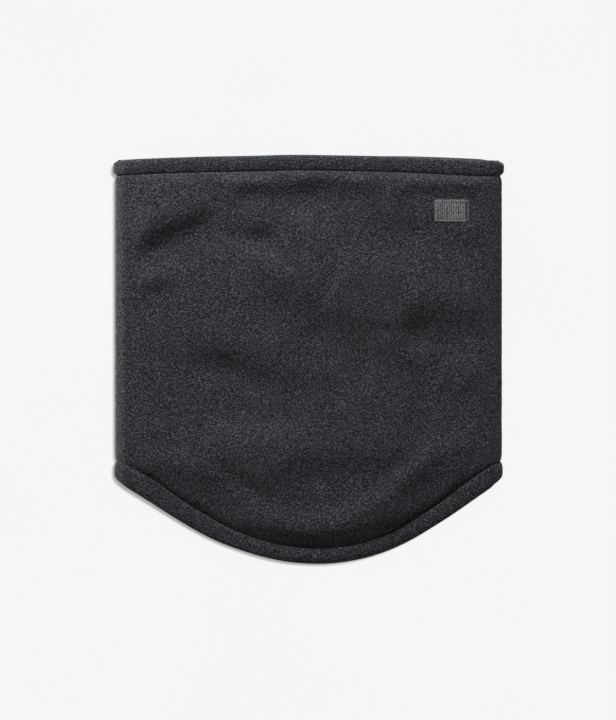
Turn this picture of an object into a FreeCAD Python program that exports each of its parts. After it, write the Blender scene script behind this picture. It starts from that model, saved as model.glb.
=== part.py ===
import FreeCAD, Part
import math
import os

import Sketcher
from FreeCAD import Placement, Rotation, Vector

# A fleece neck gaiter lying flat: a two-layer tube with a deep bib at the front, a shallower one at the
# back, turned hems at both rims and a side seam on each edge.
# X runs across the tube, +Y towards the upper rim and +Z up. The origin is on the surface that it lies
# on, midway between the upper rim and the tip of the front bib.

# Driving dimensions, in millimetres.
DIMENSIONS = {
    "half_width": 127.5,  # centre line to side seam
    "rim_apex": 135.0,  # origin to the middle of the upper rim
    "rim_radius": 2392.0,  # very slight crown of the upper rim
    "side_top": 131.0,  # upper end of the side seams
    "corner": 79.5,  # origin down to the lower corners, before they are rounded
    "corner_round": 8.0,
    "front_apex": 135.0,  # origin down to the tip of the front bib
    "front_radius": 135.0,
    "back_apex": 114.8,  # origin down to the lowest point of the back
    "back_radius": 170.0,
    "stack": 16.4,  # front and back together, with the open mouth between them
    "hem_ply": 2.3,  # one layer of fleece with the allowance turned inside the hem
    "field_ply": 1.8,  # one layer of fleece
    "thread": 0.6,
    "hem_width": 10.6,
    "stitch_inset": 10.0,  # rim to topstitching
    "stitch_width": 1.0,
    "groove_width": 1.2,  # the channel that the topstitching pulls into the fleece
    "groove_depth": 1.0,
    "rim_seam_inset": 1.8,
    "fold": 42.5,  # centre line to the lines that the tube bends along when it opens
    "clearance": 0.15,  # half of the gap between two bodies
    "thread_setback": 4.5,  # side seam to the ends of the hem threads
    "label_x": 94.7,
    "label_y": 98.6,
    "label_width": 23.0,
    "label_height": 15.0,
    "label_thickness": 0.5,
    "label_border": 1.2,  # label edge to its stitching
    "care_width": 20.0,
    "care_height": 30.0,
    "care_low": 20.0,
    "care_thickness": 0.2,
    "margin": 5.0,  # how far the cutting boxes stand outside the object
}

doc = FreeCAD.newDocument("neck_gaiter")
sheet = doc.addObject("Spreadsheet::Sheet", "Dimensions")
for row, (alias, number) in enumerate(DIMENSIONS.items(), start=1):
    sheet.set(f"A{row}", alias)
    sheet.set(f"B{row}", str(number))
    sheet.setAlias(f"B{row}", alias)
doc.recompute()


class Size:
    """A length that follows the sheet: its formula, and its value now for first guesses."""

    def __init__(self, formula, value):
        self.formula = formula
        self.value = value

    def join(self, sign, other, value):
        return Size(f"({self.formula} {sign} ({as_size(other).formula}))", value)

    def __add__(self, other):
        return self.join("+", other, self.value + as_size(other).value)

    def __sub__(self, other):
        return self.join("-", other, self.value - as_size(other).value)

    def __mul__(self, other):
        return self.join("*", other, self.value * as_size(other).value)

    def __neg__(self):
        return self * -1


def as_size(number):
    """A Size as it is, or a plain number as a Size."""
    return number if isinstance(number, Size) else Size(str(number), number)


def cell(alias):
    """The sheet's cell of that alias."""
    return Size(f"Dimensions.{alias}", float(sheet.get(alias)))


def bind(target, prop, size):
    """Make a property follow the sheet."""
    target.setExpression(prop, as_size(size).formula)


HALF_STACK = cell("stack") * 0.5
SHELL_SPAN = cell("half_width")
LINING_SPAN = SHELL_SPAN - cell("field_ply") - cell("thread")
SHELL_DEPTH = as_size(0.0)
LINING_DEPTH = cell("hem_ply") + cell("thread")
THREAD_SPAN = SHELL_SPAN - cell("thread_setback")
CENTRE_POINT = 3
ORIGIN = -1
Y_AXIS = -2


class Panel:
    """The front or the back: the curve of its lower rim, and the way it faces."""

    def __init__(self, name, turn):
        self.name = name
        self.turn = turn  # degrees about Y
        self.radius = cell(f"{name}_radius")
        self.centre = self.radius - cell(f"{name}_apex")

    def slope(self):
        """Angle of the straight stretch that runs from a lower corner, tangent to the round bib."""
        run = cell("half_width")
        drop = cell("corner") + self.centre
        reach = math.hypot(run.value, drop.value)
        value = math.degrees(math.atan2(run.value, drop.value) - math.acos(self.radius.value / reach))
        formula = (
            f"(atan2({run.formula}; {drop.formula}) - acos({self.radius.formula}"
            f" / sqrt({run.formula}^2 + {drop.formula}^2)))"
        )
        return Size(formula, value)


PANELS = (Panel("front", 0), Panel("back", 180))


def constrain(sketch, size, *constraint):
    """Add a constraint with a size that follows the sheet."""
    value = math.radians(size.value) if constraint[0] == "Angle" else size.value
    index = sketch.addConstraint(Sketcher.Constraint(*constraint, value))
    bind(sketch, f"Constraints[{index}]", size)


def arc(sketch, centre, radius, start, end):
    """An arc about a point on the centre line, anticlockwise between two angles in degrees."""
    circle = Part.Circle(Vector(0, centre.value, 0), Vector(0, 0, 1), radius.value)
    edge = Part.ArcOfCircle(circle, math.radians(start), math.radians(end))
    added = sketch.addGeometry(edge)
    sketch.addConstraint(Sketcher.Constraint("PointOnObject", added, CENTRE_POINT, Y_AXIS))
    constrain(sketch, centre, "DistanceY", ORIGIN, 1, added, CENTRE_POINT)
    constrain(sketch, radius, "Radius", added)
    return added


def crown(sketch, span, inset):
    """The upper rim, moved inwards by inset, from the right side to the left. Returns its two ends."""
    radius = cell("rim_radius") - inset
    spread = math.degrees(math.asin(span.value / radius.value))
    centre = cell("rim_apex") - cell("rim_radius")
    added = arc(sketch, centre, radius, 90 - spread, 90 + spread)
    side = centre.value + math.sqrt(radius.value**2 - span.value**2)
    return (added, 1, side), (added, 2, side)


def bib(sketch, panel, span, inset):
    """The lower rim, moved inwards by inset, from the left side to the right. Returns its two ends."""
    radius = panel.radius - inset
    slope = panel.slope()
    angle = math.radians(slope.value)
    tangent_x = radius.value * math.sin(angle)
    tangent_y = panel.centre.value - radius.value * math.cos(angle)
    side = tangent_y + (span.value - tangent_x) * math.tan(angle)
    corners = [Vector(sign * span.value, side, 0) for sign in (-1, 1)]
    touches = [Vector(sign * tangent_x, tangent_y, 0) for sign in (-1, 1)]
    left = sketch.addGeometry(Part.LineSegment(corners[0], touches[0]))
    middle = arc(sketch, panel.centre, radius, -90 - slope.value, -90 + slope.value)
    right = sketch.addGeometry(Part.LineSegment(touches[1], corners[1]))
    sketch.addConstraint(Sketcher.Constraint("Tangent", left, 2, middle, 1))
    sketch.addConstraint(Sketcher.Constraint("Tangent", middle, 2, right, 1))
    constrain(sketch, -slope, "Angle", left)
    constrain(sketch, slope, "Angle", right)
    return (left, 1, side), (right, 2, side)


def side_line(sketch, across, start, end):
    """An upright line at one side, joined to the ends of the two rims."""
    points = [Vector(across.value, height, 0) for _, _, height in (start, end)]
    added = sketch.addGeometry(Part.LineSegment(*points))
    for own_end, (edge, edge_end, _) in enumerate((start, end), start=1):
        sketch.addConstraint(Sketcher.Constraint("Coincident", added, own_end, edge, edge_end))
    sketch.addConstraint(Sketcher.Constraint("Vertical", added))
    constrain(sketch, across, "DistanceX", ORIGIN, 1, added, 1)


def new_sketch(body, name, level):
    """A sketch parallel to the body's XY plane, at a level that follows the sheet."""
    sketch = body.newObject("Sketcher::SketchObject", name)
    plane = next(f for f in body.Origin.OriginFeatures if f.Role == "XY_Plane")
    sketch.AttachmentSupport = (plane, [""])
    sketch.MapMode = "FlatFace"
    bind(sketch, "AttachmentOffset.Base.z", level)
    return sketch


def outline(body, name, level, panel, span, inset):
    """A sketch of the whole panel, moved in from both rims by inset."""
    sketch = new_sketch(body, name, level)
    upper_right, upper_left = crown(sketch, span, inset)
    lower_left, lower_right = bib(sketch, panel, span, inset)
    side_line(sketch, -span, upper_left, lower_left)
    side_line(sketch, span, lower_right, upper_right)
    return sketch


def band(body, name, level, panel, rim, span, middle, width):
    """A sketch of a strip of that width along one rim, its middle that far in from the rim."""
    sketch = new_sketch(body, name, level)
    insets = [middle - width * 0.5, middle + width * 0.5]
    if rim == "top":
        ends = [crown(sketch, span, inset)[::-1] for inset in insets]
    else:
        ends = [bib(sketch, panel, span, inset) for inset in insets]
    (outer_left, outer_right), (inner_left, inner_right) = ends
    side_line(sketch, -span, outer_left, inner_left)
    side_line(sketch, span, outer_right, inner_right)
    return sketch


def rectangle(sketch, low, high):
    """A rectangle between two corners, each given as a pair of sizes."""
    corners = [(low[0], low[1]), (high[0], low[1]), (high[0], high[1]), (low[0], high[1])]
    points = [Vector(x.value, y.value, 0) for x, y in corners]
    edges = [sketch.addGeometry(Part.LineSegment(points[i], points[(i + 1) % 4])) for i in range(4)]
    for i, edge in enumerate(edges):
        sketch.addConstraint(Sketcher.Constraint("Coincident", edge, 2, edges[(i + 1) % 4], 1))
        sketch.addConstraint(Sketcher.Constraint("Vertical" if i % 2 else "Horizontal", edge))
    constrain(sketch, low[0], "DistanceX", ORIGIN, 1, edges[0], 1)
    constrain(sketch, low[1], "DistanceY", ORIGIN, 1, edges[0], 1)
    constrain(sketch, high[0], "DistanceX", ORIGIN, 1, edges[2], 1)
    constrain(sketch, high[1], "DistanceY", ORIGIN, 1, edges[2], 1)


def extrude(body, kind, sketch, length, reverse):
    """A Pad or Pocket of a sketch. Checks that it added or removed material."""
    doc.recompute()
    before = body.Shape.Volume if body.Tip else 0.0
    feature = body.newObject(f"PartDesign::{kind}", f"{sketch.Name}_{kind}")
    feature.Profile = sketch
    feature.Reversed = reverse
    bind(feature, "Length", length)
    doc.recompute()
    change = body.Shape.Volume - before
    if (change if kind == "Pad" else -change) < 1.0:
        raise RuntimeError(f"{feature.Name} changed the volume by {change:.2f}")
    return feature


def new_body(name, panel):
    """A body whose +Z points out of the tube, placed on the middle plane and turned as its panel is."""
    body = doc.addObject("PartDesign::Body", name)
    body.Placement = Placement(Vector(0, 0, 0), Rotation(Vector(0, 1, 0), panel.turn))
    bind(body, "Placement.Base.z", HALF_STACK)
    return body


def make_ply(name, panel, span, depth, groove_outside):
    """One layer of fleece: a plate with thick hems, a stitched channel along each and turned-in sides."""
    body = new_body(f"{name}_{panel.name}", panel)
    outer = HALF_STACK - depth
    inner = outer - cell("hem_ply")
    plate = extrude(body, "Pad", outline(body, "Plate", outer, panel, span, 0), cell("hem_ply"), True)

    corners = [
        f"Edge{number}"
        for number, edge in enumerate(plate.Shape.Edges, start=1)
        if edge.BoundBox.ZLength > cell("hem_ply").value / 2
        and edge.BoundBox.YMax < 0
        and abs(abs(edge.BoundBox.Center.x) - span.value) < 0.01
    ]
    rounding = body.newObject("PartDesign::Fillet", "Rounding")
    rounding.Base = (plate, corners)
    bind(rounding, "Radius", cell("corner_round"))

    recess = outline(body, "Recess", inner, panel, span - cell("field_ply"), cell("hem_width"))
    extrude(body, "Pocket", recess, cell("hem_ply") - cell("field_ply"), True)

    face = outer if groove_outside else inner
    for rim in ("top", "bottom"):
        groove = band(
            body, f"Groove_{rim}", face, panel, rim, span, cell("stitch_inset"), cell("groove_width")
        )
        extrude(body, "Pocket", groove, cell("groove_depth"), not groove_outside)

    for side, sign in (("left", -1), ("right", 1)):
        sketch = new_sketch(body, f"Side_{side}", inner)
        across = sorted((span * sign, (span - cell("field_ply")) * sign), key=lambda size: size.value)
        low = (across[0], cell("corner_round") - cell("corner"))
        high = (across[1], cell("side_top"))
        rectangle(sketch, low, high)
        extrude(body, "Pad", sketch, inner - cell("clearance"), True)
    return body


def make_thread(name, panel, rim, inset, width, levels):
    """Thread along one rim: a flat strip one thread thick below each level."""
    body = new_body(f"{name}_{panel.name}_{rim}", panel)
    for number, level in enumerate(levels):
        sketch = band(body, f"Run_{number}", level, panel, rim, THREAD_SPAN, inset, width)
        extrude(body, "Pad", sketch, cell("thread"), True)
    return body


def make_box(name, low, size):
    """A box between sizes that follow the sheet."""
    box = doc.addObject("Part::Box", name)
    for prop, length in zip(("Length", "Width", "Height"), size):
        bind(box, prop, length)
    for axis, place in zip("xyz", low):
        bind(box, f"Placement.Base.{axis}", place)
    return box


def make_regions():
    """The left, centre and right stretches of the tube, one side of each fold line or between them."""
    outside = SHELL_SPAN + cell("margin")
    near = cell("fold") - cell("clearance")
    far = cell("fold") + cell("clearance")
    stretches = {"left": (-outside, -far), "centre": (-near, near), "right": (far, outside)}
    reach = cell("rim_apex") + cell("margin")
    regions = {}
    for name, (start, end) in stretches.items():
        low = (start, -reach, -cell("margin"))
        size = (end - start, reach * 2, cell("stack") + cell("margin") * 2)
        regions[name] = make_box(f"Region_{name}", low, size)
    return regions


sub_parts = []


def name_part(piece, name):
    """Give a finished piece the name of its sub-part."""
    piece.Label = name
    sub_parts.append(piece)


def split(body, regions):
    """Cut a body along the fold lines into the sub-parts that bend against each other."""
    for side, region in regions.items():
        piece = doc.addObject("Part::Common", f"{body.Name}_{side}")
        piece.Base = body
        piece.Tool = region
        name_part(piece, f"{body.Name}_{side}")


def make_side_seams():
    """The threads of the side seams, between shell and lining, on the front half's turned-in sides."""
    height = cell("stitch_width")
    length = cell("side_top") + cell("corner") - cell("corner_round")
    shell_low = HALF_STACK + cell("clearance") * 2
    for ply, low in (("shell", shell_low), ("lining", shell_low + height * 1.4)):
        for side, across in (("left", -LINING_SPAN - cell("thread")), ("right", LINING_SPAN)):
            place = (across, cell("corner_round") - cell("corner"), low)
            seam = make_box(f"Seam_{ply}_{side}", place, (cell("thread"), length, height))
            name_part(seam, f"side_seam_{ply}_{side}")


def make_woven_label():
    """The small woven label on the front, and the line of stitches round its border."""
    width = cell("label_width")
    height = cell("label_height")
    left = cell("label_x") - width * 0.5
    bottom = cell("label_y") - height * 0.5
    place = (left, bottom, cell("stack"))
    name_part(make_box("Label", place, (width, height, cell("label_thickness"))), "woven_label")

    level = cell("stack") + cell("label_thickness")
    rings = []
    for name, border in (("Outer", cell("label_border")), ("Inner", cell("label_border") + cell("thread"))):
        low = (left + border, bottom + border, level)
        size = (width - border * 2, height - border * 2, cell("thread") * 0.5)
        rings.append(make_box(f"Stitch_{name}", low, size))
    stitching = doc.addObject("Part::Cut", "Label_stitching")
    stitching.Base, stitching.Tool = rings
    name_part(stitching, "woven_label_stitching")


def make_care_label():
    """The blank care label inside, caught in the lining at the left side seam, and its stitches."""
    gap = cell("clearance") * 0.5
    left = -LINING_SPAN + cell("field_ply") + gap
    level = LINING_DEPTH + cell("field_ply") + gap
    place = (left, cell("care_low"), level)
    size = (cell("care_width"), cell("care_height"), cell("care_thickness"))
    name_part(make_box("Care_label", place, size), "care_label")

    on_top = (left + cell("thread"), cell("care_low"), level + cell("care_thickness"))
    strip = (cell("thread"), cell("care_height"), cell("care_thickness"))
    name_part(make_box("Care_stitching", on_top, strip), "care_label_stitching")


regions = make_regions()
needle_level = HALF_STACK - cell("groove_depth") + cell("thread")
bobbin_level = HALF_STACK - LINING_DEPTH - cell("hem_ply") + cell("groove_depth")
seam_level = HALF_STACK - cell("hem_ply")
for panel in PANELS:
    split(make_ply("shell", panel, SHELL_SPAN, SHELL_DEPTH, True), regions)
    split(make_ply("lining", panel, LINING_SPAN, LINING_DEPTH, False), regions)
    for rim in ("top", "bottom"):
        stitches = (cell("stitch_inset"), cell("stitch_width"), (needle_level, bobbin_level))
        split(make_thread("topstitch", panel, rim, *stitches), regions)
        seam = (cell("rim_seam_inset"), cell("thread"), (seam_level,))
        split(make_thread("rim_seam", panel, rim, *seam), regions)
make_side_seams()
make_woven_label()
make_care_label()
doc.recompute()

for item in doc.Objects:
    if {"Invalid", "Error"} & set(item.State):
        raise RuntimeError(f"{item.Label} failed: {item.State}")
for piece in sub_parts:
    if piece.Shape.isNull() or not piece.Shape.isValid() or not piece.Shape.Solids:
        raise RuntimeError(f"{piece.Label} has no valid solid")

os.makedirs("parts", exist_ok=True)
for piece in sub_parts:
    piece.Shape.exportStep(f"parts/{piece.Label}.step")
    bounds = piece.Shape.BoundBox
    print(
        f"{piece.Label}: {len(piece.Shape.Solids)} solid(s), {piece.Shape.Volume:.0f} mm3,"
        f" x {bounds.XMin:.1f} {bounds.XMax:.1f}, y {bounds.YMin:.1f} {bounds.YMax:.1f},"
        f" z {bounds.ZMin:.2f} {bounds.ZMax:.2f}"
    )
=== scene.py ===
import math

import bpy
import numpy as np
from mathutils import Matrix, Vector


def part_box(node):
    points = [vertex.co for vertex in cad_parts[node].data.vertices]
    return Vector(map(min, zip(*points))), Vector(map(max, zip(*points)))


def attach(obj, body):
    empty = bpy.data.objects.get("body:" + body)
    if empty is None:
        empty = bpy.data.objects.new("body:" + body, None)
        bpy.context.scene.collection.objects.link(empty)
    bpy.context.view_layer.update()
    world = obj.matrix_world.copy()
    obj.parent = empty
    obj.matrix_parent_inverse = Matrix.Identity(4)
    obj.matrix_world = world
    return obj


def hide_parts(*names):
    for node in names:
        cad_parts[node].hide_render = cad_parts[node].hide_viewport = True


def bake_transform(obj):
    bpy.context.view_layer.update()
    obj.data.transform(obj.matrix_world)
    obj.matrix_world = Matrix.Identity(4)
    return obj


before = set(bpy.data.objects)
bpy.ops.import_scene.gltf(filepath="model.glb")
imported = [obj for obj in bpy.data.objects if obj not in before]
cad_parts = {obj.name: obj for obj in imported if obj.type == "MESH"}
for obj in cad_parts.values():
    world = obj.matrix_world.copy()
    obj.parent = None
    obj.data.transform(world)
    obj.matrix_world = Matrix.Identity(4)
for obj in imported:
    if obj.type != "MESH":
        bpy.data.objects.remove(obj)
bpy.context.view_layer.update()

# A fleece neck gaiter lying flat. The cloth is worked out in millimetres in a "middle frame": x and y as
# in the CAD, and height measured outwards from the plane between front and back. metres() turns that into
# the CAD's frame. Each panel is a middle surface with the shell on its outer side and the lining inside.
MM = 0.001


def box_mm(node):
    """Lowest and highest corner of a CAD node, in millimetres."""
    low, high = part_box(node)
    return np.array(low) / MM, np.array(high) / MM


WIDE = box_mm("shell_front_right")[1][0]  # centre line to side seam
TOP = box_mm("shell_front_centre")[1][1]  # middle of the upper rim
STACK = box_mm("shell_front_centre")[1][2]  # front and back together
MIDDLE = STACK / 2
APEX = {"front": -box_mm("shell_front_centre")[0][1], "back": -box_mm("shell_back_centre")[0][1]}
FOLD = box_mm("shell_front_centre")[1][0]  # bend lines of the opening tube
PLY = box_mm("shell_front_centre")[1][2] - box_mm("lining_front_centre")[1][2] - 0.3  # one layer in a hem

CROWN_RADIUS = 2392.0  # curve of the upper rim
BIB_RADIUS = {"front": 135.0, "back": 170.0}  # curve of the lower rim
CORNER = 79.5  # lower corner, below the middle of the CAD's height
CORNER_ROUND = 8.0
SIGN = {"front": 1.0, "back": -1.0}

ROLL = 5.0  # radius that the middle surface turns with at each side
HEM_HEIGHT = MIDDLE - PLY  # middle surface above the plane between front and back, at the hems
SIDE = WIDE - PLY  # where the middle surface reaches the side seam
FLAT = SIDE - ROLL  # where it starts to turn
GRID_BREAK = 2 * FOLD  # the grid of the cloth has a column here
STITCH_LINE = 10.0  # from the rim to the topstitching
HEM_ZONE = 15.0  # from the rim to where the field is level
ROLL_DEPTH = 4.6  # from the rim to where a hem is at its full thickness
FIELD = {"shell": 2.35, "lining": 1.9}  # thickness of a layer away from its hems
HEM_SHARE = {"shell": 1.0, "lining": 0.96}  # thickness of a layer in a hem, as a share of PLY
SEAM_GAP = 0.3
LOWEST = 0.05  # nothing of a panel comes nearer to the plane between front and back


def metres(panel, x, y, height):
    """Points of the middle frame as an array of points in metres in the CAD's frame."""
    z = MIDDLE + SIGN[panel] * np.asarray(height)
    return np.stack(np.broadcast_arrays(x, y, z), axis=-1) * MM


# ---------------------------------------------------------------- numbers that vary smoothly


def step(value, low, high):
    """0 below low, 1 above high and smooth between."""
    t = np.clip((np.asarray(value, float) - low) / (high - low), 0, 1)
    return t * t * (3 - 2 * t)


TABLE = 64  # random values along each side of a table


def wander(x, y, size, seed):
    """Smooth random values from -1 to 1 that change over about that size."""
    table = np.random.default_rng(seed).uniform(-1, 1, (TABLE, TABLE))
    u, v = np.asarray(x) / size + 20.3, np.asarray(y) / size + 20.7
    i, j = np.floor(u).astype(int), np.floor(v).astype(int)
    a, b = u - i, v - j
    a, b = a * a * a * (a * (6 * a - 15) + 10), b * b * b * (b * (6 * b - 15) + 10)
    i, j, i_next, j_next = i % TABLE, j % TABLE, (i + 1) % TABLE, (j + 1) % TABLE
    low = table[i, j] * (1 - a) + table[i_next, j] * a
    high = table[i, j_next] * (1 - a) + table[i_next, j_next] * a
    return low * (1 - b) + high * b


def along(x, y, points):
    """Distance from a polyline, and the share of its length at the nearest place."""
    points = np.array(points, float)
    lengths = np.linalg.norm(np.diff(points, axis=0), axis=1)
    starts = np.concatenate(([0], np.cumsum(lengths)))
    nearest = np.full(np.shape(x), 1e9)
    share = np.zeros(np.shape(x))
    for k, (p, q) in enumerate(zip(points[:-1], points[1:])):
        d = q - p
        t = np.clip(((x - p[0]) * d[0] + (y - p[1]) * d[1]) / (d @ d), 0, 1)
        gap = np.hypot(x - p[0] - t * d[0], y - p[1] - t * d[1])
        closer = gap < nearest
        nearest = np.where(closer, gap, nearest)
        share = np.where(closer, (starts[k] + t * lengths[k]) / starts[-1], share)
    return nearest, share


def ledge(x, y, points, width, fade, rise):
    """A soft ledge along a line from left to right: the cloth above it is higher than the cloth below.

    The height fades back on both sides and at the ends. A negative rise is a ledge the other way."""
    gap, share = along(x, y, points)
    line = np.interp(x, *np.array(points, float).T)
    side = np.where(y > line, 1.0, -1.0)
    past = np.maximum(0, np.maximum(points[0][0] - x, x - points[-1][0]))
    ends = step(share, -0.08, 0.22) * (1 - step(share, 0.78, 1.08)) * np.exp(-((past / 10) ** 2))
    return rise * np.tanh(side * gap / width) * np.exp(-((gap / fade) ** 2)) * (0.15 + 0.85 * ends)


def mound(x, y, centre, width, length, turn, height):
    """A soft rise, or a hollow where height is negative, longer along one direction."""
    c, s = math.cos(math.radians(turn)), math.sin(math.radians(turn))
    u = (x - centre[0]) * c + (y - centre[1]) * s
    v = -(x - centre[0]) * s + (y - centre[1]) * c
    return height * np.exp(-((u / length) ** 2) - (v / width) ** 2)


# ---------------------------------------------------------------- the rims


def bib_slope(panel):
    """Angle of the straight stretch between a lower corner and the round bib."""
    drop = CORNER + BIB_RADIUS[panel] - APEX[panel]
    return math.atan2(WIDE, drop) - math.acos(BIB_RADIUS[panel] / math.hypot(WIDE, drop))


def upper_rim(panel, x, inset):
    """Height of the upper rim, moved in by inset. The front's dips behind the back's on the right."""
    y = TOP - CROWN_RADIUS + np.sqrt((CROWN_RADIUS - inset) ** 2 - x**2)
    y = y + 0.5 + 0.35 * wander(x, 0 * x, 34, 3 if panel == "front" else 4)
    to_the_right = step(x, 15, 75) * (1 - step(x, 112, 124))
    return y + (-0.7 if panel == "front" else 0.9) * to_the_right


def lower_rim(panel, x, inset):
    """Height of the lower rim, moved in by inset, with its rounded corners."""
    lean = 5.0 * (1 - (np.clip(x / WIDE, -1, 1)) ** 2) if panel == "front" else 0.0
    across = np.abs(x - lean)
    slope = bib_slope(panel)
    radius = BIB_RADIUS[panel] - inset
    centre = BIB_RADIUS[panel] - APEX[panel]
    touch = radius * math.sin(slope)
    bow = centre - np.sqrt(np.maximum(radius**2 - np.minimum(across, touch) ** 2, 0))
    y = bow + np.maximum(across - touch, 0) * math.tan(slope)
    turn = np.maximum(CORNER_ROUND - inset, 0.001)
    start = SIDE - turn + turn * math.sin(slope)
    line_at = centre - radius * math.cos(slope) + (SIDE - turn - touch) * math.tan(slope)
    past = np.clip(np.abs(x) - (SIDE - turn), 0, turn)
    corner = line_at + turn / math.cos(slope) - np.sqrt(np.maximum(turn**2 - past**2, 0))
    y = np.where(np.abs(x) > start, np.maximum(corner, y), y)
    into_hem = np.clip(inset / STITCH_LINE, 0, 1)
    if panel == "front":
        fuller = 2.6 * np.exp(-(((x + 84) / 27) ** 2)) + 1.2 * np.exp(-(((x - 86) / 24) ** 2))
        y = y - fuller * (1 - into_hem)
    y = y + 2.6 * step(np.abs(x), 82, 106) * into_hem
    return y + 0.4 * wander(x, 0 * x, 28, 5 if panel == "front" else 6)


# ---------------------------------------------------------------- the middle surface


RELIEF = 2.5  # strength of the ledges
LEDGES = (
    # line from left to right, half width of the slope, reach to either side, rise
    ([(-121, 69), (-92, 83), (-72, 92), (-58, 99)], 8, 26, 1.45),
    ([(-51, 110), (-38, 114), (-25, 110)], 4, 12, 1.2),
    ([(-51, 88), (-38, 83), (-24, 84)], 4, 12, 1.2),
    ([(-18, 112), (12, 114), (42, 110)], 5, 18, 1.1),
    ([(58, 113), (90, 112), (123, 109)], 5, 16, 1.1),
    ([(44, 96), (62, 92), (84, 87)], 7, 20, 1.0),
    ([(92, 80), (108, 79), (124, 77)], 5, 14, 0.9),
    ([(-22, 93), (0, 90), (22, 88)], 9, 24, -1.0),
    ([(-38, 73), (-24, 66), (-8, 53)], 6, 18, -1.4),
    ([(-12, 70), (30, 66), (68, 60)], 8, 20, -0.6),
    ([(-116, 62), (-100, 61), (-86, 60)], 6, 16, -0.8),
    ([(-112, 48), (-100, 47), (-90, 49)], 4, 12, 0.7),
    ([(-80, 6), (-48, 0), (-17, -14)], 7, 24, 1.15),
    ([(-78, -11), (-48, -15), (-20, -25)], 8, 22, -0.7),
    ([(4, 38), (31, 20), (54, -4)], 14, 36, 2.4),
    ([(58, 13), (67, 10), (77, 7)], 7, 16, -0.8),
    ([(62, 25), (82, 27), (97, 25), (117, 19)], 12, 30, 2.1),
    ([(90, -15), (102, -17), (114, -18)], 8, 20, 1.1),
    ([(-72, -40), (-30, -46), (0, -51)], 12, 28, -1.8),
    ([(-114, -53), (-108, -52), (-102, -53)], 4, 10, 1.0),
    ([(-54, -65), (-40, -76), (-24, -89)], 6, 18, 1.5),
    ([(-14, -69), (28, -65), (66, -68)], 9, 22, 1.0),
)


def front_relief(x, y):
    """The soft folds and hollows of the front, in millimetres."""
    total = 0.35 * wander(x, y, 48, 11) + 0.12 * wander(x, y, 23, 12)
    for points, width, fade, rise in LEDGES:
        total = total + ledge(x, y, points, width, fade, RELIEF * rise)
    return total + mound(x, y, (-88, 5), 5, 34, 90, -0.6)


CREST_LINE = (
    (-124, -72),
    (-114, -68),
    (-85, -66),
    (-63, -74),
    (-45, -92),
    (-25, -105),
    (-2, -110),
    (24, -107),
    (44, -96),
    (64, -76),
    (84, -61),
    (104, -55),
    (124, -62),
)


def hem_droop(x):
    """How far the front's lower hem hangs below the level of the field, past the back's shorter hem."""
    return (1.7 + 2.2 * np.exp(-(((np.abs(x) - 64) / 24) ** 2))) * (1 - step(np.abs(x), 84, 120))


def fall_from_crest(x, y):
    """Share of the way from the crest over the back's hem down to the front's own lower hem."""
    crest = np.interp(x, *np.array(CREST_LINE, float).T)
    hem = lower_rim("front", x, STITCH_LINE)
    return np.clip((crest - y) / np.maximum(crest - hem, 4), 0, 1)


def resting_height(x, y):
    """Height of the front's middle surface where it lies on the back, before the cloth settles."""
    fall = fall_from_crest(x, y)
    gap, _ = along(x, y, CREST_LINE)
    crest = 2.0 * np.exp(-((gap / 6) ** 2))
    level = 1.0 - (1.0 + hem_droop(x)) * step(fall, -0.1, 1.3)
    return HEM_HEIGHT + level + crest * (1 - fall) + front_relief(x, y) * (1 - 0.6 * fall)


SETTLE_REACH = 113.0  # half width of the simulated cloth
SETTLE_INSET = STITCH_LINE + 1.5  # from the rims to the simulated cloth
SETTLE_COLUMNS, SETTLE_ROWS = 66, 68
SETTLE_FRAMES = 36
SETTLE_UNDER = 2.2  # the surface the cloth falls on, below its resting height
SETTLE_DROP = 0.6  # the cloth starts this far above its resting height


def settle_grid():
    """Places of the simulated cloth's corners, one row after another from the bib up."""
    x = np.linspace(-SETTLE_REACH, SETTLE_REACH, SETTLE_COLUMNS)
    low, high = lower_rim("front", x, SETTLE_INSET), upper_rim("front", x, SETTLE_INSET)
    share = np.linspace(0, 1, SETTLE_ROWS)[:, None]
    return np.broadcast_to(x, (SETTLE_ROWS, SETTLE_COLUMNS)), low + (high - low) * share


def grid_object(name, x, y, height):
    """A plain grid of faces in the scene, in metres, from places in millimetres."""
    rows, columns = x.shape
    index = np.arange(rows * columns).reshape(rows, columns)
    faces = np.stack((index[:-1, :-1], index[:-1, 1:], index[1:, 1:], index[1:, :-1]), -1).reshape(-1, 4)
    mesh = bpy.data.meshes.new(name)
    vertices = np.stack((x, y, height), -1).reshape(-1, 3) * MM
    mesh.from_pydata([tuple(p) for p in vertices], [], [tuple(f) for f in faces])
    grid = bpy.data.objects.new(name, mesh)
    bpy.context.scene.collection.objects.link(grid)
    return grid


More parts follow.
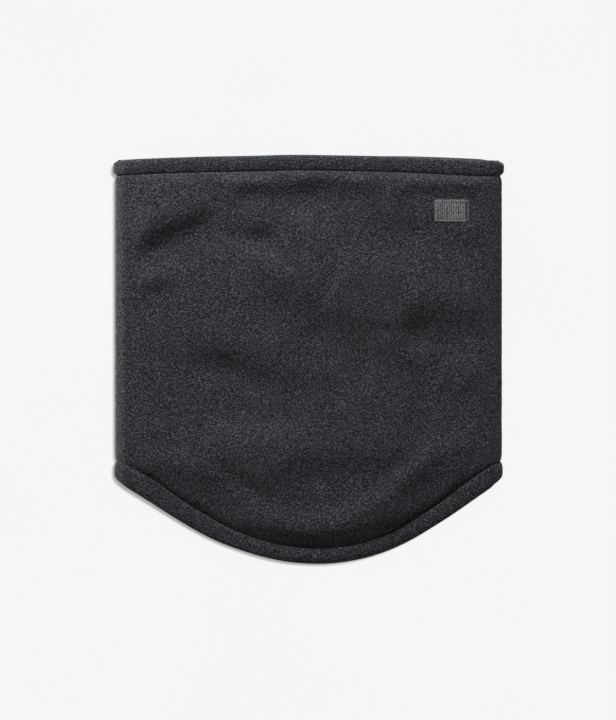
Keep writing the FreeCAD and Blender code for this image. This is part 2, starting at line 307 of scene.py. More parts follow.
def settle_front():
    """Lets the front fall a little and settle on the back, held at its hems and sides.

    The cloth is cut slightly larger than the space, as a sewn tube is, so it ripples. Returns the heights
    of its corners in millimetres."""
    x, y = settle_grid()
    under = grid_object("settle_under", x * 1.04, y * 1.04, resting_height(x, y) - SETTLE_UNDER)
    drape = grid_object("settle_cloth", x, y, resting_height(x, y) + SETTLE_DROP)
    border = np.zeros(x.shape)
    border[[0, -1], :] = border[:, [0, -1]] = 1
    held = drape.vertex_groups.new(name="held")
    held.add([int(k) for k in np.flatnonzero(border)], 1.0, "REPLACE")
    under.modifiers.new("under", "COLLISION")
    under.collision.thickness_outer = 0.001
    under.collision.cloth_friction = 20
    cloth_modifier = drape.modifiers.new("settle", "CLOTH")
    fabric = cloth_modifier.settings
    fabric.quality = 6
    fabric.mass = 0.02
    fabric.tension_stiffness = fabric.compression_stiffness = 12
    fabric.shear_stiffness = 4
    fabric.bending_stiffness = 8
    fabric.shrink_min = fabric.shrink_max = -0.006
    fabric.vertex_group_mass = "held"
    cloth_modifier.collision_settings.distance_min = 0.001
    cloth_modifier.point_cache.frame_end = SETTLE_FRAMES
    scene = bpy.context.scene
    for frame_number in range(1, SETTLE_FRAMES + 1):
        scene.frame_set(frame_number)
    shape = drape.evaluated_get(bpy.context.evaluated_depsgraph_get()).data
    places = np.empty(len(shape.vertices) * 3)
    shape.vertices.foreach_get("co", places)
    scene.frame_set(1)
    for helper in (drape, under):
        mesh = helper.data
        bpy.data.objects.remove(helper)
        bpy.data.meshes.remove(mesh)
    heights = places.reshape(-1, 3)[:, 2].reshape(x.shape) / MM
    for _ in range(2):  # two layers of fleece don't hold ripples narrower than they are thick
        heights[1:-1] = (heights[:-2] + 2 * heights[1:-1] + heights[2:]) / 4
        heights[:, 1:-1] = (heights[:, :-2] + 2 * heights[:, 1:-1] + heights[:, 2:]) / 4
    return heights


SETTLED = settle_front()


def settled_height(x, y):
    """Height of the settled front's middle surface, between the simulated corners."""
    low, high = lower_rim("front", x, SETTLE_INSET), upper_rim("front", x, SETTLE_INSET)
    u = np.clip((x / SETTLE_REACH + 1) / 2, 0, 1) * (SETTLE_COLUMNS - 1.001)
    v = np.clip((y - low) / (high - low), 0, 1) * (SETTLE_ROWS - 1.001)
    i, j = np.floor(u).astype(int), np.floor(v).astype(int)
    a, b = u - i, v - j
    near = SETTLED[j, i] * (1 - a) + SETTLED[j, i + 1] * a
    far = SETTLED[j + 1, i] * (1 - a) + SETTLED[j + 1, i + 1] * a
    return near * (1 - b) + far * b


def middle_height(panel, x, y):
    """Height of the middle surface of a panel, before it turns down at the sides."""
    if panel == "back":
        return np.full(np.shape(x), HEM_HEIGHT)
    from_top = upper_rim(panel, x, 0) - y
    from_bottom = (y - lower_rim(panel, x, 0)) * math.cos(bib_slope(panel))
    inside = step(np.minimum(from_top, from_bottom), STITCH_LINE - 1, STITCH_LINE + 9)
    inside = inside * (1 - step(np.abs(x), FLAT - 16, FLAT + 2))
    rest = resting_height(x, y) if SETTLED is None else settled_height(x, y)
    hem = HEM_HEIGHT - hem_droop(x) * step(fall_from_crest(x, y), 0.3, 1.0)
    return hem + (np.clip(rest, 1.5, 10.5) - hem) * inside


def cloth_point(panel, across, y, offset):
    """A point at that distance outside the middle surface. across follows the cloth round the side."""
    side = np.sign(across)
    reach = np.abs(across)
    turn = np.clip((reach - FLAT) / (ROLL * math.pi / 2), 0, 1) * math.pi / 2
    x_middle = np.minimum(reach, FLAT) + ROLL * np.sin(turn)
    height = middle_height(panel, side * x_middle, y) * np.cos(turn)
    x = x_middle + offset * np.sin(turn)
    return side * x, y, height + offset * np.cos(turn), turn


EDGE = FLAT + ROLL * math.pi / 2  # the side seam, measured along the cloth


def half_area(panel):
    """Area of half a panel in square metres, between its rims and from the centre line to the seam."""
    x = np.linspace(0, WIDE, 400)
    depth = upper_rim(panel, x, 0) - lower_rim(panel, x, 0)
    return float(np.mean(depth) * WIDE * MM * MM)


def middle_x(across):
    """Plan position of the middle surface at a place along the cloth."""
    turn = np.clip((np.abs(across) - FLAT) / (ROLL * math.pi / 2), 0, 1) * math.pi / 2
    return np.sign(across) * (np.minimum(np.abs(across), FLAT) + ROLL * np.sin(turn))


# ---------------------------------------------------------------- the two layers


def hem_profile(inset, thick, field):
    """Thickness of one layer by distance from the rim: a full roll, the stitched channel, the field."""
    rise = np.sqrt(np.clip(1 - ((ROLL_DEPTH - np.minimum(inset, ROLL_DEPTH)) / ROLL_DEPTH) ** 2, 0, 1))
    fall = 1 - 0.24 * step(inset, 5.0, 9.9) ** 1.4
    shoulder = field / thick * (1 - 0.42 * np.exp(-((inset - STITCH_LINE) / 2.2) ** 2))
    body = np.where(inset < STITCH_LINE, rise * fall, shoulder)
    body = body - 0.15 * np.exp(-((inset - STITCH_LINE) / 0.9) ** 2)
    return np.maximum(thick * body, 0.0)


def layer_offset(panel, layer, across, y, inset, rim):
    """Distance from the middle surface to the face of a layer that shows."""
    x = middle_x(across)
    seed = {"top": 20, "bottom": 30}[rim] + (5 if panel == "back" else 0)
    offset = hem_profile(inset, PLY * HEM_SHARE[layer], FIELD[layer])
    filled = 0.5 * np.exp(-((inset - STITCH_LINE) / 2.2) ** 2)  # the channel ends short of the side seam
    offset = offset + filled * step(np.abs(across), FLAT, EDGE)
    puff = 0.16 * wander(x, 0 * x, 9, seed) + 0.10 * wander(x, y, 4.5, seed + 1)
    pull = 0.10 * np.sin(2 * math.pi * x / 3.2) * np.exp(-((inset - STITCH_LINE) / 1.1) ** 2)
    in_hem = step(inset, 0.2, 2.5) * (1 - step(inset, STITCH_LINE + 2, STITCH_LINE + 7))
    nap = 0.07 * wander(x, y, 2.3, seed + 2) + 0.05 * wander(x, y, 5.5, seed + 3)
    offset = offset + puff * in_hem + pull + nap * step(inset, 0.0, 2.0)
    if panel == "back" and layer == "shell":
        offset = np.minimum(offset, PLY)
    return offset


def side_outline(across, inset, rim, shown):
    """How far a point near the side seam stands out: round hem ends, then a shallow crease at the seam."""
    near = step(np.abs(across), FLAT - 3, EDGE)
    corner = -1.5 * (1 - np.clip(inset / 1.9, 0, 1)) ** 2
    bulge = (1.4 if rim == "top" else 0.45) * step(inset, 0.0, 2.4) * (1 - step(inset, 7.4, 9.8))
    notch = (-0.3 if rim == "top" else -0.1) * np.exp(-((inset - STITCH_LINE) / 0.9) ** 2)
    turn = step(np.abs(across), FLAT, EDGE)
    crease = (1.2 * step(turn, 0.2, 0.75) - 1.2 * step(turn, 0.88, 1.0)) if shown else 0.0
    return near * (corner + bulge + notch) + crease


def row_insets():
    """Distances from a rim of the rows across a hem: close together at the rim and at the channel."""
    roll = ROLL_DEPTH * (1 - np.cos(np.linspace(0, math.pi / 2, 9)))
    slope = np.linspace(ROLL_DEPTH, 8.8, 7)[1:]
    channel = np.linspace(8.8, 11.2, 11)[1:]
    shoulder = np.linspace(11.2, HEM_ZONE, 5)[1:]
    return np.concatenate((roll, slope, channel, shoulder))


def layer_grid(panel, layer, columns, pitch):
    """Faces of one layer on a grid: the one that shows and the one against the other layer."""
    insets = row_insets()
    x = middle_x(columns)
    rows = []
    for inset in insets:
        rows.append((lower_rim(panel, x, inset), np.full_like(x, inset), "bottom"))
    low, high = lower_rim(panel, x, HEM_ZONE), upper_rim(panel, x, HEM_ZONE)
    count = int((TOP + APEX[panel] - 2 * HEM_ZONE) / pitch)
    for share in np.linspace(0, 1, count + 2)[1:-1]:
        y = low + (high - low) * share
        inset = np.minimum(y - low, high - y) + HEM_ZONE
        rows.append((y, inset, "bottom" if share < 0.5 else "top"))
    for inset in insets[::-1]:
        rows.append((upper_rim(panel, x, inset), np.full_like(x, inset), "top"))

    outward = 1.0 if layer == "shell" else -1.0
    shown, hidden = [], []
    for y, inset, rim in rows:
        offset = layer_offset(panel, layer, columns, y, inset, rim)
        inner = np.minimum(0.03 + (SEAM_GAP - 0.03) * step(inset, 0.5, 1.5), offset * 0.9 + 0.01)
        offset = np.maximum(offset, inner + 0.01)
        for face, distance in ((shown, offset), (hidden, inner)):
            px, py, pz, turn = cloth_point(panel, columns, y, outward * distance)
            shift = side_outline(columns, inset, rim, layer == "shell" and face is shown)
            px = px + np.sign(columns) * shift * (1 if layer == "shell" else 0.5) * np.sin(turn)
            pz = np.maximum(pz, LOWEST)
            face.append(metres(panel, px, py, pz))
    return np.array(shown), np.array(hidden)


# ---------------------------------------------------------------- meshes


def new_object(name, vertices, faces, smooth=True, normals=None):
    """A mesh object from arrays of vertices and faces."""
    mesh = bpy.data.meshes.new(name)
    mesh.from_pydata([tuple(v) for v in vertices], [], [tuple(f) for f in faces])
    if smooth:
        mesh.shade_smooth()
    else:
        mesh.shade_flat()
    piece = bpy.data.objects.new(name, mesh)
    bpy.context.scene.collection.objects.link(piece)
    if normals is not None:
        mesh.normals_split_custom_set_from_vertices([tuple(n) for n in normals])
    return piece


def grid_normals(points, flip):
    """Unit normals of a grid of points, worked out over the whole panel."""
    down = np.gradient(points, axis=0)
    right = np.gradient(points, axis=1)
    normals = np.cross(right, down)
    normals /= np.maximum(np.linalg.norm(normals, axis=-1, keepdims=True), 1e-12)
    return -normals if flip else normals


def closed_piece(name, outer, inner, outer_normals, inner_normals, flip):
    """A closed mesh between two grids of points."""
    height, width = outer.shape[:2]
    index = np.arange(height * width).reshape(height, width)
    a, b, c, d = index[:-1, :-1], index[:-1, 1:], index[1:, 1:], index[1:, :-1]
    front = np.stack((a, b, c, d), -1).reshape(-1, 4)
    back = front[:, ::-1] + height * width
    border = np.concatenate((index[0, :-1], index[:-1, -1], index[-1, :0:-1], index[:0:-1, 0]))
    following = np.roll(border, -1)
    wall = np.stack((following, border, border + height * width, following + height * width), -1)
    faces = np.concatenate((front, back, wall))
    if flip:
        faces = faces[:, ::-1]
    vertices = np.concatenate((outer.reshape(-1, 3), inner.reshape(-1, 3)))
    normals = np.concatenate((outer_normals.reshape(-1, 3), inner_normals.reshape(-1, 3)))
    return new_object(name, vertices, faces, normals=normals)


def half_columns(pitch):
    """Places along the cloth from the centre line to the side seam, closer together at the turn."""
    near = np.linspace(0, GRID_BREAK, int(GRID_BREAK / pitch) + 1)
    far = np.linspace(GRID_BREAK, FLAT, int((FLAT - GRID_BREAK) / pitch) + 1)[1:]
    turn = FLAT + (EDGE - FLAT) * np.linspace(0, 1, 15)[1:]
    return np.concatenate((near, far, turn))


SIDES = {"left": -1, "right": 1}
ALLOWANCE_TURN = 60  # degrees that the hidden allowance goes on round the side seam
ALLOWANCE_COLUMNS = 5


def follow(piece):
    """Bake a piece's placing into its mesh, and return the piece."""
    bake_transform(piece)
    return piece


def with_allowance(points, normals, panel, side):
    """Carry a half's edge on round the side seam's axis, hidden in the other panel's edge.

    It closes the inside of the seam when the tube opens."""
    sign = SIDES[side]
    axis = np.array((sign * WIDE, 0, MIDDLE)) * MM
    edge = -1 if side == "right" else 0
    places, directions = [], []
    for degrees in np.linspace(0, ALLOWANCE_TURN, ALLOWANCE_COLUMNS + 1)[1:]:
        angle = math.radians(degrees) * sign * SIGN[panel]
        c, s = math.cos(angle), math.sin(angle)
        turn = np.array(((c, 0, -s), (0, 1, 0), (s, 0, c)))
        arm = points[:, edge] - axis
        arm[:, 0] = sign * np.minimum(sign * arm[:, 0], -SEAM_GAP * MM)
        places.append(arm @ turn.T + axis)
        directions.append(normals[:, edge] @ turn.T)
    if side == "left":
        places.reverse()
        directions.reverse()
    places, directions = np.stack(places, axis=1), np.stack(directions, axis=1)
    order = (points, places) if side == "right" else (places, points)
    aims = (normals, directions) if side == "right" else (directions, normals)
    return np.concatenate(order, axis=1), np.concatenate(aims, axis=1)


def make_layer(panel, layer, pitch, material):
    """One panel of cloth as two halves."""
    half = half_columns(pitch)
    columns = np.concatenate((-half[:0:-1], half))
    outer, inner = layer_grid(panel, layer, columns, pitch)
    # on the front's shell the grid's own normal points out; each other case turns it over
    flip = (panel == "back") != (layer == "lining")
    outer_normals = grid_normals(outer, flip)
    inner_normals = -grid_normals(inner, flip)
    centre = len(half) - 1
    pieces = {}
    for side, part in (("left", slice(0, centre + 1)), ("right", slice(centre, None))):
        shown = with_allowance(outer[:, part], outer_normals[:, part], panel, side)
        hidden = with_allowance(inner[:, part], inner_normals[:, part], panel, side)
        name = f"{layer}_{panel}_half_{side}"
        piece = closed_piece(name, shown[0], hidden[0], shown[1], hidden[1], flip)
        piece.data.materials.append(material)
        pieces[side] = follow(piece)
    return pieces


# ---------------------------------------------------------------- stitches


def on_layer(panel, layer, across, inset, rim, lift):
    """Points on a layer's showing face at that distance from a rim, and the direction out of the cloth."""
    x = middle_x(across)
    y = (upper_rim if rim == "top" else lower_rim)(panel, x, inset)
    offset = layer_offset(panel, layer, across, y, np.full_like(x, inset), rim) + lift
    outward = 1.0 if layer == "shell" else -1.0
    px, py, pz, turn = cloth_point(panel, across, y, outward * offset)
    if layer == "shell":
        px = px + np.sign(across) * side_outline(across, inset, rim, True) * np.sin(turn)
    out = np.stack((np.sign(across) * np.sin(turn), 0 * turn, SIGN[panel] * np.cos(turn)), -1)
    return metres(panel, px, py, np.maximum(pz, LOWEST)), outward * out


def tubes(name, paths, ups, radius, material, around=7):
    """Short lengths of thread, one for each row of paths, tapered where they go into the cloth."""
    count, rings = paths.shape[:2]
    tangent = np.gradient(paths, axis=1)
    tangent /= np.linalg.norm(tangent, axis=-1, keepdims=True)
    sideways = np.cross(tangent, ups)
    sideways /= np.linalg.norm(sideways, axis=-1, keepdims=True)
    upright = np.cross(sideways, tangent)
    place = np.linspace(-1, 1, rings)
    girth = radius * np.sqrt(np.maximum(1 - 0.75 * place**6, 0.1))
    angles = np.linspace(0, 2 * math.pi, around, endpoint=False)
    circle = np.cos(angles)[:, None] * sideways[:, :, None] + np.sin(angles)[:, None] * upright[:, :, None]
    points = paths[:, :, None] + girth[None, :, None, None] * circle
    index = np.arange(count * rings * around).reshape(count, rings, around)
    following = np.roll(index, -1, axis=2)
    walls = np.stack((index[:, :-1], following[:, :-1], following[:, 1:], index[:, 1:]), -1).reshape(-1, 4)
    caps = [tuple(row[::-1]) for row in index[:, 0]] + [tuple(row) for row in index[:, -1]]
    piece = new_object(name, points.reshape(-1, 3), [tuple(f) for f in walls] + caps)
    piece.data.materials.append(material)
    return piece


PITCH = 3.0  # from one stitch to the next
STITCH = 2.5  # visible length of a stitch
THREAD = 0.24 * MM  # radius
PATCH_THREAD = 0.20 * MM
TAB_THREAD = 0.17 * MM
RIM_SEAM_LINE = 1.8  # from the rim to the seam that joins shell and lining


def stitch_places(side):
    """Places along the cloth of the middles of one half's stitches."""
    count = int((EDGE - 1.0) / PITCH)
    return SIDES[side] * PITCH * (np.arange(count) + 0.5)


def rim_stitches(panel, rim, side, material):
    """The row that holds one half of a hem down, on the shell and, from its bobbin, on the lining."""
    reach = np.linspace(-STITCH / 2, STITCH / 2, 9)
    across = stitch_places(side)[:, None] + reach[None, :]
    dip = 0.10 - 0.5 * np.abs(reach / (STITCH / 2)) ** 3
    shown, out = on_layer(panel, "shell", across, STITCH_LINE, rim, dip)
    inside, back_out = on_layer(panel, "lining", across, STITCH_LINE, rim, dip)
    paths, ups = np.concatenate((shown, inside)), np.concatenate((out, back_out))
    piece = tubes(f"topstitch_{panel}_{rim}_half_{side}", paths, ups, THREAD, material)
    return follow(piece)


def rim_seam(panel, rim, side, material):
    """Half of the hidden seam that joins shell and lining just inside a rim."""
    reach = np.linspace(-STITCH / 2, STITCH / 2, 7)
    across = stitch_places(side)[:, None] + reach[None, :]
    x = middle_x(across)
    y = (upper_rim if rim == "top" else lower_rim)(panel, x, RIM_SEAM_LINE)
    wave = 0.25 * np.cos(math.pi * reach / STITCH)
    px, py, pz, turn = cloth_point(panel, across, y, wave + 0 * x)
    out = np.stack((np.sign(across) * np.sin(turn), 0 * turn, SIGN[panel] * np.cos(turn)), -1)
    paths = metres(panel, px, py, np.maximum(pz, LOWEST))
    piece = tubes(f"rim_seam_{panel}_{rim}_half_{side}", paths, out, THREAD, material, around=5)
    return follow(piece)


def side_seam(layer, side, material):
    """The seam that joins front and back at a side. It lies inside the rolled edge."""
    low, high = box_mm(f"side_seam_{layer}_{side}")
    reach = np.linspace(-STITCH / 2, STITCH / 2, 7)
    middles = np.arange(low[1] + PITCH / 2, high[1] - PITCH / 2, PITCH)
    y = middles[:, None] + reach[None, :]
    x = np.full_like(y, (low[0] + high[0]) / 2)
    z = (low[2] + high[2]) / 2 + 0.3 * np.cos(math.pi * reach / STITCH) + 0 * y
    ups = np.zeros((*y.shape, 3))
    ups[..., 2] = 1
    paths = np.stack((x, y, z), -1) * MM
    piece = tubes(f"side_seam_stitches_{layer}_{side}", paths, ups, THREAD, material, around=5)
    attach(piece, f"front_{side}")
    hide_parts(f"side_seam_{layer}_{side}")
    return piece


# ---------------------------------------------------------------- labels


def label_grid(width, height, pitch):
    """Places on a label from its middle, and how far each is from its border."""
    u = np.linspace(-width / 2, width / 2, int(width / pitch) + 1)
    v = np.linspace(-height / 2, height / 2, int(height / pitch) + 1)
    u, v = np.meshgrid(u, v[::-1])
    border = np.minimum(width / 2 - np.abs(u), height / 2 - np.abs(v))
    return u, v, border


def label_mesh(name, top, bottom, material):
    """A closed label between two grids of points in metres."""
    piece = closed_piece(name, top, bottom, grid_normals(top, False), -grid_normals(bottom, False), False)
    piece.data.materials.append(material)
    return piece


def border_stitches(name, width, height, inset, surface, material):
    """Running stitches round a label. surface gives the points of places on it, with a lift."""
    corners = [(-1, -1), (1, -1), (1, 1), (-1, 1), (-1, -1)]
    half = np.array((width / 2 - inset, height / 2 - inset))
    paths = []
    for a, b in zip(corners[:-1], corners[1:]):
        a, b = np.array(a) * half, np.array(b) * half
        length = np.linalg.norm(b - a)
        count = int(length / 2.1)
        pitch = length / count
        for k in range(count):
            t = (k + 0.5 + np.linspace(-0.36, 0.36, 7)) * pitch / length
            place = a[None, :] + (b - a)[None, :] * t[:, None]
            lift = 0.16 - 0.35 * np.abs(np.linspace(-1, 1, 7)) ** 3
            paths.append(surface(place[:, 0], place[:, 1], lift))
    paths = np.array(paths)
    ups = np.zeros_like(paths)
    ups[..., 2] = 1
    return tubes(name, paths, ups, PATCH_THREAD, material)


def shell_height(x, y):
    """Height of the front's face away from its hems, without its nap."""
    return middle_height("front", x, y) + FIELD["shell"]


PATCH_EDGE = 2.5  # width of the dark strip at the woven patch's right edge


def make_woven_label(cloth_material, edge_material, thread_material):
    """The small woven patch near the upper right corner, sewn flat on the shell."""
    low, high = box_mm("woven_label")
    middle = (low + high) / 2
    width, height = high[0] - low[0], high[1] - low[1]
    inset = 0.85

    def face(u, v, lift):
        border = np.minimum(width / 2 - np.abs(u), height / 2 - np.abs(v))
        pressed = 0.14 * np.exp(-(((border - inset) / 0.5) ** 2))
        edge = 0.25 * (1 - np.clip(border / 0.35, 0, 1)) ** 2
        rise = 0.40 + 0.10 * step(border, 1.5, 4) - pressed - edge
        x, y = middle[0] + u, middle[1] + v
        return metres("front", x, y, shell_height(x, y) + rise + lift)

    u, v, border = label_grid(width, height, 0.33)
    x, y = middle[0] + u, middle[1] + v
    bottom = metres("front", x, y, shell_height(x, y) - 0.05 + 0 * u)
    label = label_mesh("woven_label_patch", face(u, v, 0.0), bottom, cloth_material)
    label.data.materials.append(edge_material)
    for polygon in label.data.polygons:
        if polygon.center.x > (high[0] - PATCH_EDGE) * MM:
            polygon.material_index = 1
    thread = border_stitches("woven_label_stitches", width, height, inset, face, thread_material)
    for piece, node in ((label, "woven_label"), (thread, "woven_label_stitching")):
        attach(piece, "front_right")
        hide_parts(node)
    return label, thread


def make_care_label(cloth_material, thread_material):
    """The blank satin tab sewn beside the left seam on the inside of the back."""
    low, high = box_mm("care_label")
    width, height = high[0] - low[0], high[1] - low[1]
    middle = np.array((low[0] + width / 2 + 2.7, low[1] + height / 2))

    def lift(u):
        return 0.25 + 1.1 * step(u, -width / 2 + 3, width / 2 + 2) + 0 * u

    def level(u, v, extra):
        x, y = middle[0] + u, middle[1] + v
        ripple = 0.12 * wander(x, y, 7, 60) * step(u, -width / 2, 0)
        return metres("back", x, y, HEM_HEIGHT - 1.95 - lift(u) - ripple - extra)

    u, v, _ = label_grid(width, height, 0.8)
    # the inside of the back looks up, so this tab's upper face is the one nearer the front
    top, bottom = level(u, v, 0.22 + 0 * u), level(u, v, 0 * u)
    label = label_mesh("care_label_tab", top, bottom, cloth_material)
    reach = np.linspace(-1, 1, 7)
    places = np.arange(-height / 2 + 1.2, height / 2 - 1.0, 2.1)
    across, up = np.meshgrid(reach * 0.8, places)
    dip = 0.36 - 0.4 * np.abs(reach) ** 3 + 0 * up
    sewn = level(np.full_like(across, -width / 2 + 1.3), up + across, dip)
    ups = np.zeros_like(sewn)
    ups[..., 2] = 1
    thread = tubes("care_label_stitches", sewn, ups, TAB_THREAD, thread_material)
    for piece, node in ((label, "care_label"), (thread, "care_label_stitching")):
        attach(piece, "back_left")
        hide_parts(node)
    return label, thread


# ---------------------------------------------------------------- materials


def shader(name, roughness, sheen=0.0, sheen_roughness=0.5):
    """A new material and its Principled shader."""
    material = bpy.data.materials.new(name)
    material.use_nodes = True
    principled = material.node_tree.nodes["Principled BSDF"]
    principled.inputs["Roughness"].default_value = roughness
    principled.inputs["Sheen Weight"].default_value = sheen
    principled.inputs["Sheen Roughness"].default_value = sheen_roughness
    principled.inputs["Specular IOR Level"].default_value = 0.25
    return material, principled


class Nodes:
    """Short ways to add nodes to a material."""

    def __init__(self, material):
        self.tree = material.node_tree
        self.place = self.add("ShaderNodeTexCoord").outputs["Object"]

    def add(self, kind, **settings):
        node = self.tree.nodes.new(kind)
        for key, value in settings.items():
            setattr(node, key, value)
        return node

    def link(self, source, target):
        self.tree.links.new(source, target)

    def noise(self, per_metre, detail=2.0, roughness=0.5):
        node = self.add("ShaderNodeTexNoise")
        node.inputs["Scale"].default_value = per_metre
        node.inputs["Detail"].default_value = detail
        node.inputs["Roughness"].default_value = roughness
        self.link(self.place, node.inputs["Vector"])
        return node.outputs["Fac"]

    def wave(self, period, direction, unevenness):
        """Bands of that period in metres, slightly uneven."""
        node = self.add("ShaderNodeTexWave", bands_direction=direction)
        node.inputs["Scale"].default_value = 2 * math.pi / 20 / period
        node.inputs["Distortion"].default_value = unevenness
        node.inputs["Detail"].default_value = 1
        self.link(self.place, node.inputs["Vector"])
        return node.outputs["Fac"]

    def ramp(self, value, stops):
        node = self.add("ShaderNodeValToRGB")
        elements = node.color_ramp.elements
        while len(elements) < len(stops):
            elements.new(0.5)
        for element, (place, colour) in zip(elements, stops):
            element.position = place
            element.color = (*colour, 1)
        self.link(value, node.inputs["Fac"])
        return node.outputs["Color"]

    def mix(self, factor, a, b, blend="MIX"):
        node = self.add("ShaderNodeMix", data_type="RGBA", blend_type=blend)
        for socket, value in ((0, factor), (6, a), (7, b)):
            if isinstance(value, (int, float)):
                node.inputs[socket].default_value = value
            elif isinstance(value, tuple):
                node.inputs[socket].default_value = (*value, 1)
            else:
                self.link(value, node.inputs[socket])
        return node.outputs[2]

    def maths(self, operation, a, b=0.0):
        node = self.add("ShaderNodeMath", operation=operation)
        for socket, value in enumerate((a, b)):
            if isinstance(value, (int, float)):
                node.inputs[socket].default_value = value
            else:
                self.link(value, node.inputs[socket])
        return node.outputs[0]

    def bump(self, height, distance, strength=1.0, below=None):
        node = self.add("ShaderNodeBump")
        node.inputs["Distance"].default_value = distance
        node.inputs["Strength"].default_value = strength
        self.link(height, node.inputs["Height"])
        if below is not None:
            self.link(below, node.inputs["Normal"])
        return node.outputs["Normal"]


def fleece(name, tone, speck):
    """Brushed fleece: a short speckled nap, slightly mottled, with a soft sheen."""
    material, principled = shader(name, 0.95, sheen=0.22, sheen_roughness=0.5)
    n = Nodes(material)
    pile = n.noise(1050, detail=3, roughness=0.7)
    clumps = n.noise(420, detail=2)
    patches = n.noise(38, detail=3)
    dark = tuple(0.04 * c for c in tone)
    light = tuple(c * (1 + 8.2 * speck) for c in tone)
    colour = n.ramp(pile, [(0.42, dark), (0.50, tone), (0.61, light)])
    colour = n.mix(0.35, colour, n.ramp(clumps, [(0.36, (0.55,) * 3), (0.64, (1.4,) * 3)]), "MULTIPLY")
    tint = n.ramp(patches, [(0.35, (0.95, 1.0, 0.98)), (0.65, (1.04, 0.99, 1.04))])
    colour = n.mix(0.8, colour, tint, "MULTIPLY")
    n.link(colour, principled.inputs["Base Color"])
    fine = n.bump(pile, 0.0013, 1.0)
    coarse = n.bump(clumps, 0.0007, 0.55, below=fine)
    n.link(coarse, principled.inputs["Normal"])
    return material


def woven(name, light, dark):
    """Ribbed label cloth: upright ribs of light yarn between darker ones, crossed by a fine weft."""
    material, principled = shader(name, 0.75, sheen=0.05)
    n = Nodes(material)
    ribs = n.wave(1.5 * MM, "X", 1.2)
    weft = n.wave(0.55 * MM, "Y", 0.2)
    flecks = n.noise(1100, detail=2, roughness=0.6)
    value = n.maths("ADD", n.maths("MULTIPLY", ribs, 0.22), n.maths("MULTIPLY", weft, 0.12))
    value = n.maths("ADD", value, n.maths("MULTIPLY", flecks, 1.1))
    n.link(n.ramp(value, [(0.60, dark), (0.80, light)]), principled.inputs["Base Color"])
    n.link(n.bump(value, 0.0002, 0.8), principled.inputs["Normal"])
    return material


def satin(name, tone):
    """Smooth printed-label cloth, left blank."""
    material, principled = shader(name, 0.42, sheen=0.1)
    n = Nodes(material)
    weft = n.wave(0.4 * MM, "Y", 0.3)
    wear = n.noise(120, detail=3)
    shade = n.maths("ADD", n.maths("MULTIPLY", weft, 0.3), n.maths("MULTIPLY", wear, 0.7))
    colour = n.ramp(shade, [(0.2, tuple(0.86 * c for c in tone)), (0.8, tone)])
    n.link(colour, principled.inputs["Base Color"])
    n.link(n.bump(weft, 0.00008, 0.5), principled.inputs["Normal"])
    return material


def yarn(name, tone):
    """Twisted sewing thread."""
    material, principled = shader(name, 0.6, sheen=0.1)
    n = Nodes(material)
    twist = n.wave(0.45 * MM, "DIAGONAL", 0.4)
    lint = n.noise(1400, detail=2)
    shade = n.maths("ADD", n.maths("MULTIPLY", twist, 0.6), n.maths("MULTIPLY", lint, 0.4))
    colour = n.ramp(shade, [(0.25, tuple(0.6 * c for c in tone)), (0.75, tuple(1.3 * c for c in tone))])
    n.link(colour, principled.inputs["Base Color"])
    n.link(n.bump(twist, 0.00008, 0.8), principled.inputs["Normal"])
    return material


def plain(name, colour, glow):
    """Backdrop paper. Part of its brightness is its own, as on a light table, so shadows stay faint."""
    material, principled = shader(name, 0.9)
    n = Nodes(material)
    tone = n.noise(6, detail=2)
    lighter = tuple(1.01 * c for c in colour)
    n.link(n.ramp(tone, [(0.3, colour), (0.7, lighter)]), principled.inputs["Base Color"])
    principled.inputs["Emission Color"].default_value = (1, 1, 1, 1)
    principled.inputs["Emission Strength"].default_value = glow
    return material


def make_floor():
    size = 6.0
    floor = new_object(
        "floor",
        [(-size, -size, 0), (size, -size, 0), (size, size, 0), (-size, size, 0)],
        [(0, 1, 2, 3)],
        smooth=False,
    )
    floor.data.materials.append(plain("paper", (0.30, 0.30, 0.30), 0.366))
    return floor


CHARCOAL = (0.0107, 0.0117, 0.0140)
shell_fleece = fleece("shell_fleece", CHARCOAL, 1.0)
lining_fleece = fleece("lining_fleece", tuple(0.9 * c for c in CHARCOAL), 0.7)
dark_thread = yarn("dark_thread", (0.017, 0.018, 0.021))
grey_thread = yarn("grey_thread", (0.33, 0.335, 0.34))
label_cloth = woven("label_cloth", (0.165, 0.169, 0.176), (0.011, 0.0115, 0.0125))
label_edge = woven("label_edge", (0.035, 0.036, 0.039), (0.014, 0.015, 0.017))
care_cloth = satin("care_cloth", (0.62, 0.62, 0.60))

floor = make_floor()

SHELL_PITCH = 1.1
LINING_PITCH = 1.8

cloth = {}
for panel in ("front", "back"):
    cloth[panel, "shell"] = make_layer(panel, "shell", SHELL_PITCH, shell_fleece)
    cloth[panel, "lining"] = make_layer(panel, "lining", LINING_PITCH, lining_fleece)
    for layer in ("shell", "lining"):
        for side, piece in cloth[panel, layer].items():
            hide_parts(f"{layer}_{panel}_{side}", f"{layer}_{panel}_centre")

for panel in ("front", "back"):
    for rim in ("top", "bottom"):
        for side in SIDES:
            for seam, make in (("topstitch", rim_stitches), ("rim_seam", rim_seam)):
                piece = make(panel, rim, side, dark_thread)
                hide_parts(f"{seam}_{panel}_{rim}_{side}", f"{seam}_{panel}_{rim}_centre")
for layer in ("shell", "lining"):
    for side in SIDES:
        side_seam(layer, side, dark_thread)
patch, patch_thread = make_woven_label(label_cloth, label_edge, grey_thread)
tab, tab_thread = make_care_label(care_cloth, grey_thread)

for (panel, layer), halves in cloth.items():
    area = half_area(panel)


# ---------------------------------------------------------------- floor, light and camera


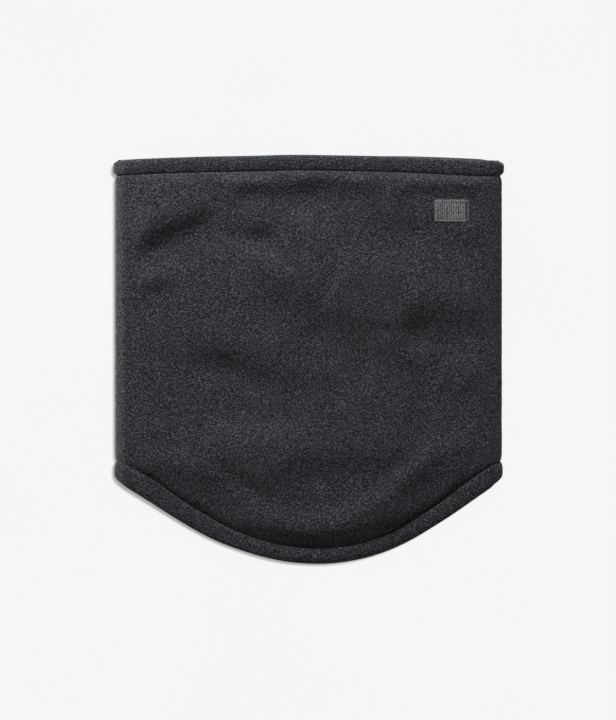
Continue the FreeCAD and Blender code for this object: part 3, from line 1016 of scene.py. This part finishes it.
def make_lamp(name, place, size, power):
    """A square softbox that looks at the middle of the object and leaves the backdrop to its own light."""
    lamp = bpy.data.lights.new(name, "AREA")
    lamp.shape = "SQUARE"
    lamp.size = size
    lamp.energy = power
    holder = bpy.data.objects.new(name, lamp)
    holder.location = place
    holder.rotation_mode = "QUATERNION"
    holder.rotation_quaternion = Vector(place).to_track_quat("Z", "Y")
    bpy.context.scene.collection.objects.link(holder)
    unlit = bpy.data.collections.new("not_lit_by_" + name)
    unlit.objects.link(floor)
    holder.light_linking.receiver_collection = unlit
    unlit.collection_objects[0].light_linking.link_state = "EXCLUDE"


def make_floor_light(direction, strength, spread):
    """A high light for the backdrop alone. It draws the narrow soft shadow down the left edge."""
    lamp = bpy.data.lights.new("floor_light", "SUN")
    lamp.energy = strength
    lamp.angle = math.radians(spread)
    holder = bpy.data.objects.new("floor_light", lamp)
    holder.rotation_mode = "QUATERNION"
    holder.rotation_quaternion = Vector(direction).to_track_quat("Z", "Y")
    bpy.context.scene.collection.objects.link(holder)
    lit = bpy.data.collections.new("lit_by_floor_light")
    lit.objects.link(floor)
    holder.light_linking.receiver_collection = lit


def make_world(strength):
    world = bpy.data.worlds.new("studio")
    world.use_nodes = True
    background = world.node_tree.nodes["Background"]
    background.inputs["Color"].default_value = (1, 1, 1, 1)
    background.inputs["Strength"].default_value = strength
    bpy.context.scene.world = world


def make_camera():
    distance = 2.4
    tall = 0.4756  # what the frame's long side shows at the object
    camera = bpy.data.cameras.new("camera")
    camera.sensor_width = 36
    camera.lens = camera.sensor_width * distance / tall
    holder = bpy.data.objects.new("camera", camera)
    holder.location = (-0.0004, 0, distance + STACK * MM)
    bpy.context.scene.collection.objects.link(holder)
    bpy.context.scene.camera = holder


make_lamp("softbox", place=(-0.62, 1.06, 0.62), size=0.36, power=31)
make_floor_light(direction=(0.52, 0.46, 2.9), strength=5.6, spread=10)
make_lamp("side_light", place=(1.1, -0.15, 0.17), size=0.5, power=3)
make_world(strength=0.07)
make_camera()
bpy.context.scene.view_settings.view_transform = "Standard"
